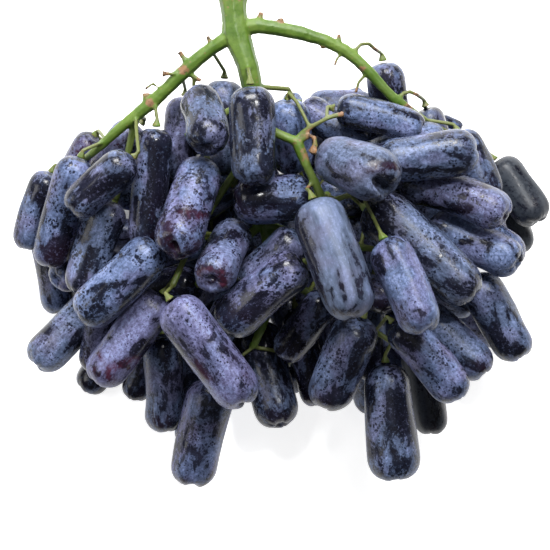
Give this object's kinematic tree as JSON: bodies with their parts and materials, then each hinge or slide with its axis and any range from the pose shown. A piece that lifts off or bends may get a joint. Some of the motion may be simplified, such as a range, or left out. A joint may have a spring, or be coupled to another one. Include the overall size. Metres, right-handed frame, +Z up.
{
  "type": "bunch of grapes",
  "caption": "Bunch of long finger-shaped blue-black table grapes with waxy bloom on a branched green stem, lying on its back.",
  "frame": {"origin": "on the table under the middle of the bunch's box", "axes": "+X across the bunch, +Y from the berries towards the cut stalk, +Z up, towards the side that the picture shows"},
  "size_m": [0.1998, 0.1766, 0.09],
  "materials": {
    "skin": "grape skin under a waxy bloom",
    "stem": "fresh green stem"
  },
  "bodies": {
    "root": {"stem": "stem", "berry_left_01": "skin", "berry_left_02": "skin", "berry_left_03": "skin", "berry_left_04": "skin", "berry_left_05": "skin", "berry_left_06": "skin", "berry_left_07": "skin", "berry_left_08": "skin", "berry_left_09": "skin", "berry_left_10": "skin", "berry_left_11": "skin", "berry_left_12": "skin", "berry_left_13": "skin", "berry_left_14": "skin", "berry_left_15": "skin", "berry_left_16": "skin", "berry_left_17": "skin", "berry_left_18": "skin", "berry_left_19": "skin", "berry_middle_01": "skin", "berry_middle_02": "skin", "berry_middle_03": "skin", "berry_middle_04": "skin", "berry_middle_05": "skin", "berry_middle_06": "skin", "berry_middle_07": "skin", "berry_middle_08": "skin", "berry_middle_09": "skin", "berry_middle_10": "skin", "berry_middle_11": "skin", "berry_middle_12": "skin", "berry_right_01": "skin", "berry_right_02": "skin", "berry_right_03": "skin", "berry_right_04": "skin", "berry_right_05": "skin", "berry_right_06": "skin", "berry_right_07": "skin", "berry_right_08": "skin", "berry_right_09": "skin", "berry_right_10": "skin", "berry_right_11": "skin", "berry_right_12": "skin", "berry_right_13": "skin", "berry_right_14": "skin", "berry_right_15": "skin", "berry_right_16": "skin", "berry_crown_01": "skin", "berry_crown_02": "skin", "berry_crown_03": "skin", "berry_crown_04": "skin", "berry_back_01": "skin", "berry_back_02": "skin", "berry_back_03": "skin", "berry_back_04": "skin", "berry_back_05": "skin", "berry_back_06": "skin", "berry_back_07": "skin", "berry_back_08": "skin"}
  },
  "joints": []
}
